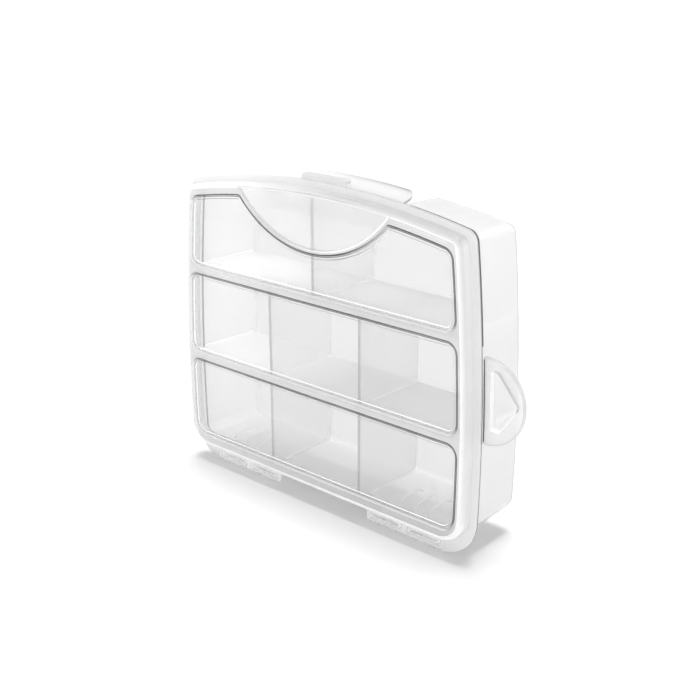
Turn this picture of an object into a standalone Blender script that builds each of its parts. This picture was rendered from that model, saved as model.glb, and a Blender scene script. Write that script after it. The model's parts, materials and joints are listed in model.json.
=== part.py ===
"""Clear compartment case for small parts, standing on its hinge side. Blender 4.5, metres, +Z up.

The case is drawn about its own mid plane: x to the right, y from the lid's front face to the tray's
back wall, z up from the lowest point of the hinge hooks. The root empty then carries everything to
the frame whose origin is the middle of the bounding box's base.
"""

import math

import bmesh
import bpy
from mathutils import Vector
from mathutils.geometry import intersect_sphere_sphere_2d

# Outline family: every outline has bowed sides, an arched top, a flat base and round corners.
SIDE_ARC = 1.000
SIDE_MID = 0.056
TOP_ARC = 0.490
FLAT_ARC = 400.0
CORNER_STEPS = 6
SIDE_STEPS = 8
TOP_STEPS = 10

GAP = 0.0003

# Lid
LID_HALF, LID_TOP, LID_BOTTOM = 0.1064, 0.1844, 0.0110
LID_TOP_CORNER, LID_BASE_CORNER = 0.0060, 0.0155
LID_EDGE = 0.0030
LID_WALL = 0.0018
RIM_HALF, RIM_TOP, RIM_BOTTOM = 0.1103, 0.1878, 0.0005
RIM_TOP_CORNER, RIM_BASE_CORNER = 0.0070, 0.0240
RIM_FRONT, RIM_BACK = 0.0076, 0.0100
RIM_EDGE = 0.0004
PAST = 0.0010

# Clear windows in the lid
WINDOW_HALF = 0.1008
WINDOW_CORNER = 0.0060
LOW_WINDOW_CORNER = 0.0080
LOW_WINDOW = (0.0190, 0.0670)
MIDDLE_WINDOW = (0.0731, 0.1213)
TOP_WINDOW = (0.1274, 0.1768)
SCALLOP_ARC, SCALLOP_BOTTOM = 0.0738, 0.1494
SCALLOP_CORNER = 0.0025
PANE_FRONT, PANE_THICK = 0.0005, 0.0013

# Finger scoop, pull lip and catch at the lid's top
SCOOP_ARC, SCOOP_BOTTOM = 0.0690, 0.1526
SCOOP_BELOW_TOP = 0.0031
SCOOP_DEPTH, SCOOP_THICK = 0.0008, 0.0015
LIP_HALF, LIP_END, LIP_RISE, LIP_THICK = 0.0560, 0.0205, 0.0038, 0.0016
LIP_CORNER, LIP_SWEEP = 0.0050, 1.6
LIP_STEPS = 8
CATCH_HALF, CATCH_TOP = 0.0158, 0.1906
CATCH_FRONT, CATCH_BACK, CATCH_FOOT = 0.0106, 0.0150, 0.0068
CATCH_ROUND = 0.0016
CATCH_WALL, CATCH_SIDE = 0.0009, 0.0018
NIB_HALF, NIB_HEIGHT = 0.0120, 0.0010

# Tray
TRAY_FRONT, FLANGE_BACK, TRAY_BACK = 0.0103, 0.0123, 0.0545
TRAY_HALF, TRAY_TOP, TRAY_BOTTOM = 0.1048, 0.1830, 0.0124
TRAY_TAPER_SIDE, TRAY_TAPER_TOP, TRAY_TAPER_BASE = 0.0019, 0.0014, 0.0006
TRAY_TOP_CORNER, TRAY_BASE_CORNER = 0.0065, 0.0080
TRAY_WALL = 0.0020
TRAY_EDGE = 0.0045
FLANGE_SETBACK, FLANGE_BASE_CORNER = 0.0022, 0.0105
NOTCH_HALF, NOTCH_FRONT, NOTCH_FLOOR = 0.0465, 0.0150, 0.1690
NOTCH_ROUND = 0.0050

# Shelves and dividers
SHELF_THICK = 0.0014
UPPER_SHELF_TOP, LOWER_SHELF_TOP = 0.1250, 0.0710
INSIDE_FRONT = 0.0024
DIVIDER_THICK = 0.0012
DIVIDER_X = 0.0339
DIVIDER_CORNER = 0.0040

# Hanging ear on the right-hand flange
EAR_X, EAR_Z, EAR_RADIUS = 0.1103, 0.0915, 0.0233
EAR_THICK = 0.0026
EAR_HOLE = ((0.1134, 0.1065), (0.1160, 0.1086), (0.1296, 0.0925), (0.1192, 0.0774), (0.1138, 0.0774))

# Hinge along the base
PIN_Y, PIN_Z, PIN_RADIUS = 0.0083, 0.0027, 0.0013
HOOK_INSIDE, HOOK_OUTSIDE = 0.0016, 0.0027
HOOK_WIDTH, HOOK_TAIL = 0.0034, 0.0310
HOOK_FRONT, HOOK_TIP, HOOK_SLOPE = 0.0107, 0.0008, 0.35
HOOK_STEPS = 8
LOOP_SPANS = ((-0.0878, -0.0622), (-0.0610, -0.0354), (0.0354, 0.0610), (0.0622, 0.0878))
LOOP_POST, LOOP_TOP, LOOP_BAR = 0.0026, 0.0070, 0.0009
LOOP_THICK = 0.0026
HOOK_INSET = 0.0066
RIM_CUT_TOP = LOOP_TOP + GAP

EAR_REACH = EAR_X + EAR_RADIUS
ROOT_PLACE = ((RIM_HALF - EAR_REACH) / 2, -TRAY_BACK / 2, 0.0)

FACING_FRONT = (math.radians(90), 0, 0)
FACING_SIDE = (math.radians(90), 0, math.radians(90))
FACING_SIDE_BAR = (0, math.radians(90), 0)


# Scene, collections and materials

def clear_scene():
    for old in list(bpy.data.objects):
        bpy.data.objects.remove(old)


def new_collection(name):
    made = bpy.data.collections.new(name)
    bpy.context.scene.collection.children.link(made)
    return made


def plastic(name, colour, alpha, roughness):
    made = bpy.data.materials.new(name)
    made.use_nodes = True
    shader = made.node_tree.nodes["Principled BSDF"]
    shader.inputs["Base Color"].default_value = (*colour, 1.0)
    shader.inputs["Alpha"].default_value = alpha
    shader.inputs["Roughness"].default_value = roughness
    shader.inputs["Metallic"].default_value = 0.0
    return made


# Outlines

def arc(centre, radius, start, end, steps):
    """Points of an arc, both ends included; the angles are in radians."""
    found = []
    for step in range(steps + 1):
        angle = start + (end - start) * step / steps
        found.append(centre + radius * Vector((math.cos(angle), math.sin(angle))))
    return found


def heading(vector):
    return math.atan2(vector.y, vector.x)


def upper_crossing(centre_a, radius_a, centre_b, radius_b):
    return max(intersect_sphere_sphere_2d(centre_a, radius_a, centre_b, radius_b), key=lambda p: p.y)


def right_crossing(centre_a, radius_a, centre_b, radius_b):
    return max(intersect_sphere_sphere_2d(centre_a, radius_a, centre_b, radius_b), key=lambda p: p.x)


def mirrored(right):
    """A closed loop from its right half, which runs from the base up to the mid plane."""
    left = [Vector((-p.x, p.y)) for p in reversed(right) if p.x > 1e-6]
    return right + left


def right_flank(half, top, bottom, top_corner, base_corner, top_arc):
    """The right half's base corner, side and top corner, and the angle where the top arc starts."""
    side_centre = Vector((half - SIDE_ARC, SIDE_MID))
    top_centre = Vector((0.0, top - top_arc))
    upper = upper_crossing(side_centre, SIDE_ARC - top_corner, top_centre, top_arc - top_corner)
    height = bottom + base_corner
    reach = math.sqrt((SIDE_ARC - base_corner) ** 2 - (height - SIDE_MID) ** 2)
    lower = Vector((side_centre.x + reach, height))
    side_start = heading(lower - side_centre)
    side_end = heading(upper - side_centre)
    top_start = heading(upper - top_centre)
    points = arc(lower, base_corner, -math.pi / 2, side_start, CORNER_STEPS)
    points += arc(side_centre, SIDE_ARC, side_start, side_end, SIDE_STEPS)[1:]
    points += arc(upper, top_corner, side_end, top_start, CORNER_STEPS)[1:]
    return points, top_centre, top_start


def outline(half, top, bottom, top_corner, base_corner, inset=0.0, top_arc=TOP_ARC):
    """The case's outline as (x, z) points, drawn in by inset on every side."""
    points, top_centre, top_start = right_flank(
        half - inset, top - inset, bottom + inset, top_corner - inset, base_corner - inset, top_arc
    )
    points += arc(top_centre, top_arc, top_start, math.pi / 2, TOP_STEPS)[1:]
    return mirrored(points)


def lid_outline(inset=0.0):
    return outline(LID_HALF, LID_TOP, LID_BOTTOM, LID_TOP_CORNER, LID_BASE_CORNER, inset)


def rim_outline(inset=0.0):
    return outline(RIM_HALF, RIM_TOP, RIM_BOTTOM, RIM_TOP_CORNER, RIM_BASE_CORNER, inset)


def tray_outline(depth, inset=0.0):
    """The tray's outside at a depth behind its front edge, tapering towards the back wall."""
    taper = (depth - TRAY_FRONT) / (TRAY_BACK - TRAY_FRONT)
    return outline(
        TRAY_HALF - taper * TRAY_TAPER_SIDE,
        TRAY_TOP - taper * TRAY_TAPER_TOP,
        TRAY_BOTTOM + taper * TRAY_TAPER_BASE,
        TRAY_TOP_CORNER,
        TRAY_BASE_CORNER,
        inset,
    )


def window_outline(span, base_corner, grow=0.0):
    bottom, top = span
    return outline(WINDOW_HALF, top, bottom, WINDOW_CORNER, base_corner, -grow, FLAT_ARC)


def top_window_outline(grow=0.0):
    """The arched top window, with the scallop that makes room for the finger scoop."""
    bottom, top = TOP_WINDOW
    corner = SCALLOP_CORNER + grow
    points, top_centre, top_start = right_flank(
        WINDOW_HALF + grow, top + grow, bottom - grow, WINDOW_CORNER + grow, WINDOW_CORNER + grow, TOP_ARC
    )
    scallop_centre = Vector((0.0, SCALLOP_BOTTOM + SCALLOP_ARC))
    scallop_arc = SCALLOP_ARC - grow
    cusp = right_crossing(top_centre, TOP_ARC - corner, scallop_centre, scallop_arc + corner)
    top_end = heading(cusp - top_centre)
    inward = heading(scallop_centre - cusp)
    points += arc(top_centre, TOP_ARC, top_start, top_end, TOP_STEPS)[1:]
    points += arc(cusp, corner, top_end, inward, CORNER_STEPS)[1:]
    points += arc(scallop_centre, scallop_arc, inward - math.pi, -math.pi / 2, TOP_STEPS)[1:]
    return mirrored(points)


def scoop_outline(grow=0.0):
    """The finger scoop: a round base closed by the lid's arch."""
    centre = Vector((0.0, SCOOP_BOTTOM + SCOOP_ARC))
    top = LID_TOP - SCOOP_BELOW_TOP + grow
    top_centre = Vector((0.0, top - TOP_ARC))
    radius = SCOOP_ARC + grow
    corner = right_crossing(centre, radius, top_centre, TOP_ARC)
    points = arc(centre, radius, -math.pi / 2, heading(corner - centre), 2 * TOP_STEPS)
    points += arc(top_centre, TOP_ARC, heading(corner - top_centre), math.pi / 2, TOP_STEPS)[1:]
    return mirrored(points[1:])[:-1] + [points[0]]


def rectangle(low_x, high_x, low_z, high_z):
    return [Vector(p) for p in ((low_x, low_z), (high_x, low_z), (high_x, high_z), (low_x, high_z))]


# Solids

def keep(name, mesh, collection, material=None):
    made = bpy.data.objects.new(name, mesh)
    collection.objects.link(made)
    made.parent = root
    if material:
        mesh.materials.append(material)
    return made


def flat(name, loops, thickness, place, turn, collection, material=None):
    """A plate cut to a closed outline, the later loops being holes. It is a mesh with welded caps."""
    curve = bpy.data.curves.new(name, "CURVE")
    curve.dimensions = "2D"
    curve.fill_mode = "BOTH"
    curve.extrude = thickness / 2
    for loop in loops:
        spline = curve.splines.new("POLY")
        spline.points.add(len(loop) - 1)
        for point, (across, up) in zip(spline.points, loop):
            point.co = (across, up, 0.0, 1.0)
        spline.use_cyclic_u = True
    drawn = bpy.data.objects.new(name + "_curve", curve)
    bpy.context.scene.collection.objects.link(drawn)
    graph = bpy.context.evaluated_depsgraph_get()
    mesh = bpy.data.meshes.new_from_object(drawn.evaluated_get(graph))
    mesh.name = name
    bpy.data.objects.remove(drawn)
    welded = bmesh.new()
    welded.from_mesh(mesh)
    bmesh.ops.remove_doubles(welded, verts=welded.verts, dist=1e-6)
    bmesh.ops.recalc_face_normals(welded, faces=welded.faces)
    welded.to_mesh(mesh)
    welded.free()
    made = keep(name, mesh, collection, material)
    made.location = place
    made.rotation_euler = turn
    return made


def front_plate(name, loops, front, thickness, collection, material=None):
    """A flat piece that faces the front, from y = front to y = front + thickness."""
    return flat(name, loops, thickness, (0, front + thickness / 2, 0), FACING_FRONT, collection, material)


def loft(name, sections, collection, material=None):
    """A solid through outlines of equal count, each (y, points), with a cap at each end."""
    made = bmesh.new()
    rings = [[made.verts.new((x, depth, z)) for x, z in points] for depth, points in sections]
    for near, far in zip(rings, rings[1:]):
        for i in range(len(near)):
            j = (i + 1) % len(near)
            made.faces.new((near[i], near[j], far[j], far[i]))
    made.faces.new(rings[0])
    made.faces.new(rings[-1])
    bmesh.ops.recalc_face_normals(made, faces=made.faces)
    mesh = bpy.data.meshes.new(name)
    made.to_mesh(mesh)
    made.free()
    return keep(name, mesh, collection, material)


def block(name, low, high, collection, material=None, rounding=0.0):
    """A box between two corners, with its edges along y rounded if a rounding is given."""
    made = bmesh.new()
    bmesh.ops.create_cube(made, size=1.0)
    for vert in made.verts:
        vert.co = [low[i] + (vert.co[i] + 0.5) * (high[i] - low[i]) for i in range(3)]
    if rounding:
        along = [e for e in made.edges if abs(e.verts[0].co.y - e.verts[1].co.y) > 1e-6]
        bmesh.ops.bevel(made, geom=along, offset=rounding, segments=5, profile=0.5, affect="EDGES")
    mesh = bpy.data.meshes.new(name)
    made.to_mesh(mesh)
    made.free()
    return keep(name, mesh, collection, material)


def combine(target, tool, operation):
    modifier = target.modifiers.new(tool.name, "BOOLEAN")
    modifier.operation = operation
    modifier.object = tool


def cutter(tool):
    tool.hide_render = True
    tool.display_type = "WIRE"
    return tool


def smooth(target):
    target.data.shade_smooth()
    target.data.set_sharp_from_angle(angle=math.radians(35))


def front_rounding(edge, steps, outline_at, depth=0.0):
    """Sections of a quarter-round front edge: drawn in by its radius at the front face."""
    sections = []
    for step in range(steps + 1):
        angle = math.pi / 2 * step / steps
        sections.append((depth + edge * (1 - math.cos(angle)), outline_at(edge * (1 - math.sin(angle)))))
    return sections


# Lid

def lid_frame():
    """Lid moulding: front face with its window openings, side wall and flared rim."""
    sections = front_rounding(LID_EDGE, 4, lid_outline)
    sections.append((RIM_FRONT - RIM_EDGE, lid_outline()))
    sections.append((RIM_FRONT, rim_outline(RIM_EDGE)))
    sections.append((RIM_FRONT + RIM_EDGE, rim_outline()))
    sections.append((RIM_BACK, rim_outline()))
    lid = loft("lid_frame", sections, parts, frosted)
    hollow = front_rounding(LID_EDGE - LID_WALL, 2, lambda inset: lid_outline(LID_WALL + inset), LID_WALL)
    hollow.append((RIM_BACK + PAST, lid_outline(LID_WALL)))
    combine(lid, cutter(loft("lid_hollow", hollow, cutters)), "DIFFERENCE")
    openings = {
        "cut_bottom_window": window_outline(LOW_WINDOW, LOW_WINDOW_CORNER, GAP),
        "cut_middle_window": window_outline(MIDDLE_WINDOW, WINDOW_CORNER, GAP),
        "cut_top_window": top_window_outline(GAP),
        "cut_scoop": scoop_outline(GAP),
    }
    for name, loop in openings.items():
        tool = cutter(front_plate(name, [loop], -PAST, LID_WALL + 2 * PAST, cutters))
        combine(lid, tool, "DIFFERENCE")
    low = (LOOP_SPANS[0][0] - GAP, LID_EDGE + PAST, -PAST)
    high = (LOOP_SPANS[-1][1] + GAP, RIM_BACK + PAST, RIM_CUT_TOP)
    combine(lid, cutter(block("cut_hinge_bay", low, high, cutters)), "DIFFERENCE")


def lid_windows():
    panes = {
        "window_bottom": window_outline(LOW_WINDOW, LOW_WINDOW_CORNER),
        "window_middle": window_outline(MIDDLE_WINDOW, WINDOW_CORNER),
        "window_top": top_window_outline(),
    }
    for name, loop in panes.items():
        front_plate(name, [loop], PANE_FRONT, PANE_THICK, parts, clear)


def finger_scoop():
    front_plate("scoop_panel", [scoop_outline()], SCOOP_DEPTH, SCOOP_THICK, parts, satin)


def lip_height(depth):
    """How far the lip has risen above the rim at a depth, on a hollow curve."""
    along = (depth - RIM_BACK) / (LIP_END - RIM_BACK)
    return LIP_RISE * along ** LIP_SWEEP


def lip_half(depth):
    """The lip's half width, rounded off at its back corners."""
    past = max(0.0, depth - (LIP_END - LIP_CORNER))
    return LIP_HALF - LIP_CORNER + math.sqrt(max(0.0, LIP_CORNER ** 2 - past ** 2))


def lip_section(depth):
    lifted = RIM_TOP + lip_height(depth) - TOP_ARC
    centre = Vector((0.0, lifted))
    spread = math.asin(lip_half(depth) / TOP_ARC)
    upright = math.pi / 2
    upper = arc(centre, TOP_ARC, upright - spread, upright + spread, 2 * TOP_STEPS)
    lower = arc(centre, TOP_ARC - LIP_THICK, upright + spread, upright - spread, 2 * TOP_STEPS)
    return upper + lower


def pull_lip():
    """Finger lip that sweeps up and back from the rim, with the slot that holds the catch."""
    start = RIM_BACK + GAP
    reach = LIP_END - start
    depths = [start + reach * math.sin(math.pi / 2 * step / LIP_STEPS) for step in range(LIP_STEPS + 1)]
    lip = loft("pull_lip", [(depth, lip_section(depth)) for depth in depths], parts, frosted)
    low = (-CATCH_HALF - GAP, RIM_BACK, RIM_TOP - CATCH_FOOT)
    high = (CATCH_HALF + GAP, CATCH_BACK + GAP, CATCH_TOP)
    combine(lip, cutter(block("cut_catch_slot", low, high, cutters)), "DIFFERENCE")
    smooth(lip)


def catch():
    """Snap catch on the lid, hollow below and behind, and the nib on the tray that it closes over."""
    low = (-CATCH_HALF, CATCH_FRONT, RIM_TOP - LIP_THICK)
    high = (CATCH_HALF, CATCH_BACK, CATCH_TOP)
    boss = block("catch_boss", low, high, parts, frosted, CATCH_ROUND)
    pocket_low = (-CATCH_HALF + CATCH_SIDE, CATCH_FRONT + CATCH_WALL, low[2] - PAST)
    pocket_high = (CATCH_HALF - CATCH_SIDE, CATCH_BACK + PAST, CATCH_TOP - CATCH_ROUND)
    combine(boss, cutter(block("cut_catch_pocket", pocket_low, pocket_high, cutters)), "DIFFERENCE")
    smooth(boss)
    base = RIM_TOP - FLANGE_SETBACK + GAP
    nib_low = (-NIB_HALF, CATCH_FRONT + CATCH_WALL + GAP, base)
    nib_high = (NIB_HALF, FLANGE_BACK + GAP, base + NIB_HEIGHT)
    block("catch_nib", nib_low, nib_high, parts, frosted)


def hinge_loops():
    """Four loops under the lid's rim, each two posts and a bridge with a round bar across the foot."""
    post_bottom = PIN_Z - PIN_RADIUS / 2
    front = PIN_Y - LOOP_THICK / 2 + GAP
    for number, (left, right) in enumerate(LOOP_SPANS, 1):
        arch = [
            (left, post_bottom), (left + LOOP_POST, post_bottom),
            (left + LOOP_POST, LOOP_TOP - LOOP_BAR), (right - LOOP_POST, LOOP_TOP - LOOP_BAR),
            (right - LOOP_POST, post_bottom), (right, post_bottom),
            (right, LOOP_TOP), (left, LOOP_TOP),
        ]
        name = f"hinge_loop_{number}"
        loop = front_plate(name, [[Vector(p) for p in arch]], front, LOOP_THICK, parts, frosted)
        bpy.ops.mesh.primitive_cylinder_add(
            vertices=20, radius=PIN_RADIUS, depth=right - left - 2 * GAP, rotation=FACING_SIDE_BAR
        )
        bar = bpy.context.object
        bar.name = f"hinge_bar_{number}"
        for used in list(bar.users_collection):
            used.objects.unlink(bar)
        cutters.objects.link(bar)
        bar.parent = root
        bar.location = ((left + right) / 2, PIN_Y, PIN_Z)
        combine(loop, cutter(bar), "UNION")


# Tray

def finger_notch(name, grow):
    """The block taken out of the tray's top behind the pull lip."""
    low = (-NOTCH_HALF - grow, NOTCH_FRONT - grow, NOTCH_FLOOR - grow)
    high = (NOTCH_HALF + grow, TRAY_BACK + 2 * NOTCH_ROUND, TRAY_TOP + 4 * NOTCH_ROUND)
    return cutter(block(name, low, high, cutters, rounding=NOTCH_ROUND + grow))


def tray_shell():
    """Rear moulding: flange, tapering walls, notched top and back wall with round edges."""
    flange = outline(
        RIM_HALF - FLANGE_SETBACK, RIM_TOP - FLANGE_SETBACK, TRAY_BOTTOM, RIM_TOP_CORNER, FLANGE_BASE_CORNER
    )
    sections = [
        (TRAY_FRONT, flange),
        (FLANGE_BACK, flange),
        (FLANGE_BACK + GAP, tray_outline(FLANGE_BACK)),
    ]
    back = [
        (TRAY_BACK - depth, tray_outline(TRAY_BACK, inset))
        for depth, inset in quarter_round(TRAY_EDGE, 4)
    ]
    tray = loft("tray_shell", sections + back, parts, satin)
    inner_back = TRAY_BACK - TRAY_WALL
    inner_round = TRAY_EDGE - TRAY_WALL
    hollow = [(TRAY_FRONT - PAST, tray_outline(TRAY_FRONT, TRAY_WALL))]
    hollow += [
        (inner_back - depth, tray_outline(TRAY_BACK, TRAY_WALL + inset))
        for depth, inset in quarter_round(inner_round, 3)
    ]
    cavity = cutter(loft("tray_hollow", hollow, cutters))
    combine(cavity, finger_notch("notch_lining", TRAY_WALL), "DIFFERENCE")
    combine(tray, finger_notch("notch", 0.0), "DIFFERENCE")
    combine(tray, cavity, "DIFFERENCE")


def quarter_round(radius, steps):
    """(distance from the face, inset) pairs that round an edge, ending on the face."""
    pairs = []
    for step in range(steps + 1):
        angle = math.pi / 2 * step / steps
        pairs.append((radius * (1 - math.sin(angle)), radius * (1 - math.cos(angle))))
    return pairs


def inside_half(depth, height):
    """The tray's clear half width at a depth and height, less the running gap."""
    taper = max(0.0, (depth - TRAY_FRONT) / (TRAY_BACK - TRAY_FRONT))
    bow = SIDE_ARC - math.sqrt(SIDE_ARC ** 2 - (height - SIDE_MID) ** 2)
    return TRAY_HALF - taper * TRAY_TAPER_SIDE - TRAY_WALL - bow - GAP


INSIDE_BACK = TRAY_BACK - TRAY_WALL - GAP


def shelf(name, top):
    """A level across the tray, as deep as the closed case."""
    sections = []
    for depth in (INSIDE_FRONT, TRAY_FRONT, INSIDE_BACK - (TRAY_EDGE - TRAY_WALL), INSIDE_BACK):
        half = inside_half(depth, top)
        if depth == INSIDE_BACK:
            half -= TRAY_EDGE - TRAY_WALL
        sections.append((depth, rectangle(-half, half, top - SHELF_THICK, top)))
    loft(name, sections, parts, satin)


def divider(name, x, profile):
    flat(name, [profile], DIVIDER_THICK, (x, 0, 0), FACING_SIDE, parts, clear)


def dividers():
    """Five upright walls between the levels, given as (y, z) outlines."""
    roof = NOTCH_FLOOR - TRAY_WALL - GAP
    tray_roof = TRAY_TOP - TRAY_WALL - 2 * GAP
    notch_front = NOTCH_FRONT - TRAY_WALL - GAP
    floor = UPPER_SHELF_TOP + GAP
    top_profile = [
        (INSIDE_FRONT, floor), (INSIDE_BACK, floor), (INSIDE_BACK, roof), (notch_front, roof),
        (notch_front, tray_roof), (INSIDE_FRONT, tray_roof),
    ]
    divider("divider_top", 0.0, [Vector(p) for p in top_profile])
    middle = rectangle(INSIDE_FRONT, INSIDE_BACK, LOWER_SHELF_TOP + GAP, UPPER_SHELF_TOP - SHELF_THICK - GAP)
    front_floor = TRAY_BOTTOM + TRAY_WALL + 2 * GAP
    back_floor = front_floor + TRAY_TAPER_BASE
    corner_centre = Vector((INSIDE_BACK - DIVIDER_CORNER, back_floor + DIVIDER_CORNER))
    bottom = [Vector((INSIDE_FRONT, front_floor)), Vector((TRAY_FRONT, front_floor))]
    bottom += arc(corner_centre, DIVIDER_CORNER, -math.pi / 2, 0.0, CORNER_STEPS)
    lower_roof = LOWER_SHELF_TOP - SHELF_THICK - GAP
    bottom += [Vector((INSIDE_BACK, lower_roof)), Vector((INSIDE_FRONT, lower_roof))]
    for side, x in (("left", -DIVIDER_X), ("right", DIVIDER_X)):
        divider("divider_middle_" + side, x, middle)
        divider("divider_bottom_" + side, x, bottom)


def hanging_ear():
    """D-shaped tab beside the right-hand flange, with a three-cornered hole."""
    flat_x = RIM_HALF - FLANGE_SETBACK + GAP
    swing = math.acos((flat_x - EAR_X) / EAR_RADIUS)
    rim = arc(Vector((EAR_X, EAR_Z)), EAR_RADIUS, -swing, swing, 24)
    hole = [Vector(p) for p in EAR_HOLE]
    front_plate("hanging_ear", [rim, hole], TRAY_FRONT + GAP, EAR_THICK, parts, satin)


def hook_profile():
    """(y, z) outline of one hook: an open ring about the hinge axis on a curved gusset."""
    axis = Vector((PIN_Y, PIN_Z))
    mouth_low, mouth_high = math.radians(-105), math.radians(145)
    under = math.radians(-50)
    neck = math.acos((HOOK_FRONT - PIN_Y) / HOOK_OUTSIDE)
    tail_z = TRAY_BOTTOM - GAP
    points = arc(axis, HOOK_OUTSIDE, mouth_low, under, 6)
    start = points[-1]
    reach = HOOK_TAIL - start.x
    rise = tail_z - HOOK_TIP - start.y
    for step in range(1, HOOK_STEPS + 1):
        along = step / HOOK_STEPS
        swept = 1 - math.sqrt(1 - along ** 2)
        height = HOOK_SLOPE * along + (1 - HOOK_SLOPE) * swept
        points.append(Vector((start.x + reach * along, start.y + rise * height)))
    points.append(Vector((HOOK_TAIL, tail_z)))
    points.append(Vector((HOOK_FRONT, tail_z)))
    points += arc(axis, HOOK_OUTSIDE, neck, mouth_high, 8)
    points += arc(axis, HOOK_INSIDE, mouth_high, mouth_low, 14)
    return points


def hinge_hooks():
    """Two hooks through each lid loop, gripping its round bar."""
    number = 0
    for left, right in LOOP_SPANS:
        for x in (left + HOOK_INSET, right - HOOK_INSET):
            number += 1
            name = f"hinge_hook_{number}"
            flat(name, [hook_profile()], HOOK_WIDTH, (x, 0, 0), FACING_SIDE, parts, satin)


clear_scene()
parts = new_collection("parts_organizer")
cutters = new_collection("cutters")
root = bpy.data.objects.new("case_root", None)
parts.objects.link(root)
root.location = ROOT_PLACE
frosted = plastic("frosted_plastic", (0.90, 0.91, 0.91), 0.45, 0.35)
clear = plastic("clear_plastic", (0.95, 0.96, 0.96), 0.18, 0.05)
satin = plastic("satin_plastic", (0.93, 0.94, 0.94), 0.30, 0.20)
lid_frame()
lid_windows()
finger_scoop()
pull_lip()
catch()
hinge_loops()
tray_shell()
shelf("upper_shelf", UPPER_SHELF_TOP)
shelf("lower_shelf", LOWER_SHELF_TOP)
dividers()
hanging_ear()
hinge_hooks()
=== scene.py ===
"""Looks of the clear compartment case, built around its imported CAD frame. Metres, +Z up.

Shapes are drawn in the case's own frame: x from its mid plane, y back from the lid's face, z up
from the lowest hinge hook. SHIFT carries them to the row frame.
"""

import json
import math

import bmesh
import bpy
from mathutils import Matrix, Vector
from mathutils.geometry import intersect_sphere_sphere_2d

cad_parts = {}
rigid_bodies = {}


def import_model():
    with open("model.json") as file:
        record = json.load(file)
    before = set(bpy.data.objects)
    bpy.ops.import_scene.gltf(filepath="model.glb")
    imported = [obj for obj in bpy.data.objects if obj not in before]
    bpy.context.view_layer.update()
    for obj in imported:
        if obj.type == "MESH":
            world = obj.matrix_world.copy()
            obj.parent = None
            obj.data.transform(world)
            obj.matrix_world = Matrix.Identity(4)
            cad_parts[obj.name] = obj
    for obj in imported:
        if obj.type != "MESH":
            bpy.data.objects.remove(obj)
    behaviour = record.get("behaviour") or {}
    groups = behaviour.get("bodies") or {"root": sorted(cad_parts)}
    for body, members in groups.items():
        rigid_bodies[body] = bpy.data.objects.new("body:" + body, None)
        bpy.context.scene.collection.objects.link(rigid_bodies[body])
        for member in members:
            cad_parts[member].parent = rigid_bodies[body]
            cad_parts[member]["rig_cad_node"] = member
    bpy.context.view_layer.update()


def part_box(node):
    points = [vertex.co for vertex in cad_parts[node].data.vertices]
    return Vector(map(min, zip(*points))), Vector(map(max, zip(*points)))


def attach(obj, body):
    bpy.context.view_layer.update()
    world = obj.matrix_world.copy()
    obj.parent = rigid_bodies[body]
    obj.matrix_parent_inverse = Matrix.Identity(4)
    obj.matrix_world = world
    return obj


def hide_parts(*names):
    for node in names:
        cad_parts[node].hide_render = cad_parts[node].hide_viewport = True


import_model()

SCENE = bpy.context.scene
frame_low, frame_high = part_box("lid_frame")
SHIFT = Vector(((frame_low.x + frame_high.x) / 2, frame_low.y, 0.0))

# Radii of the case's bowed sides and top, the height where its sides are widest, and the radius
# that stands for a straight edge
SIDE_ARC, TOP_ARC, SIDE_MID, FLAT_ARC = 1.000, 0.490, 0.056, 400.0
CORNER_STEPS, SIDE_STEPS, TOP_STEPS = 12, 20, 26
GAP = 0.0003

# Outlines: half width, top, bottom, top corner radius, base corner radius
LID_OUTLINE = (0.1064, 0.1844, 0.0110, 0.0060, 0.0155)
RIM_OUTLINE = (0.1103, 0.1878, 0.0005, 0.0070, 0.0240)
LOW_WINDOW = (0.1008, 0.0670, 0.0190, 0.0060, 0.0080)
MIDDLE_WINDOW = (0.1008, 0.1213, 0.0731, 0.0060, 0.0060)
TOP_WINDOW = (0.1008, 0.1768, 0.1274, 0.0060, 0.0060)
FLANGE_OUTLINE = (0.1103 - 0.0022, 0.1878 - 0.0022, 0.0124, 0.0070, 0.0105)

# The dip in the top window's upper edge, and the scoop inside it: lowest point and radius
DIP_LOW, DIP_RADIUS, DIP_CORNER = 0.1494, 0.0738, 0.0025
SCOOP_LOW, SCOOP_RADIUS, SCOOP_TOP = 0.1526, 0.0690, 0.1844 - 0.0031

# Lid: the face's rounding and wall, the openings' step, the panes' raised step, and the rim, with
# the width of the band of painted shade before the rim's back edge
EDGE, WALL = 0.0030, 0.0018
STEP_WIDE, STEP_DEEP = 0.0010, 0.0006
PANE_FRONT, PANE_BACK, PANE_EDGE = 0.0005, 0.0018, 0.0004
PANE_STEP_IN, PANE_STEP_WIDE, PANE_STEP_DEEP = 0.0014, 0.0004, 0.0003
SCOOP_FRONT, SCOOP_BACK, SCOOP_EDGE = 0.0008, 0.0023, 0.0003
RIM_FRONT, RIM_BACK, RIM_EDGE, RIM_BACK_EDGE, SEAM_SHADE_WIDE = 0.0076, 0.0100, 0.0004, 0.0008, 0.0004
BAY_LOW, BAY_HIGH = (-0.0881, 0.0040, -0.001), (0.0881, RIM_BACK + 0.001, 0.0073)

# Pull lip and the slot in it that holds the catch
LIP_END, LIP_HALF, LIP_CORNER, LIP_THICK = 0.0205, 0.0560, 0.0050, 0.0016
LIP_RISE, LIP_RIM = 0.0038, 0.0008
LIP_ACROSS, LIP_STEPS = 48, 18
SLOT_LOW = (-0.0158 - GAP, RIM_BACK - 0.001, 0.180)
SLOT_HIGH = (0.0158 + GAP, 0.0150 + GAP, 0.195)

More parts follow.
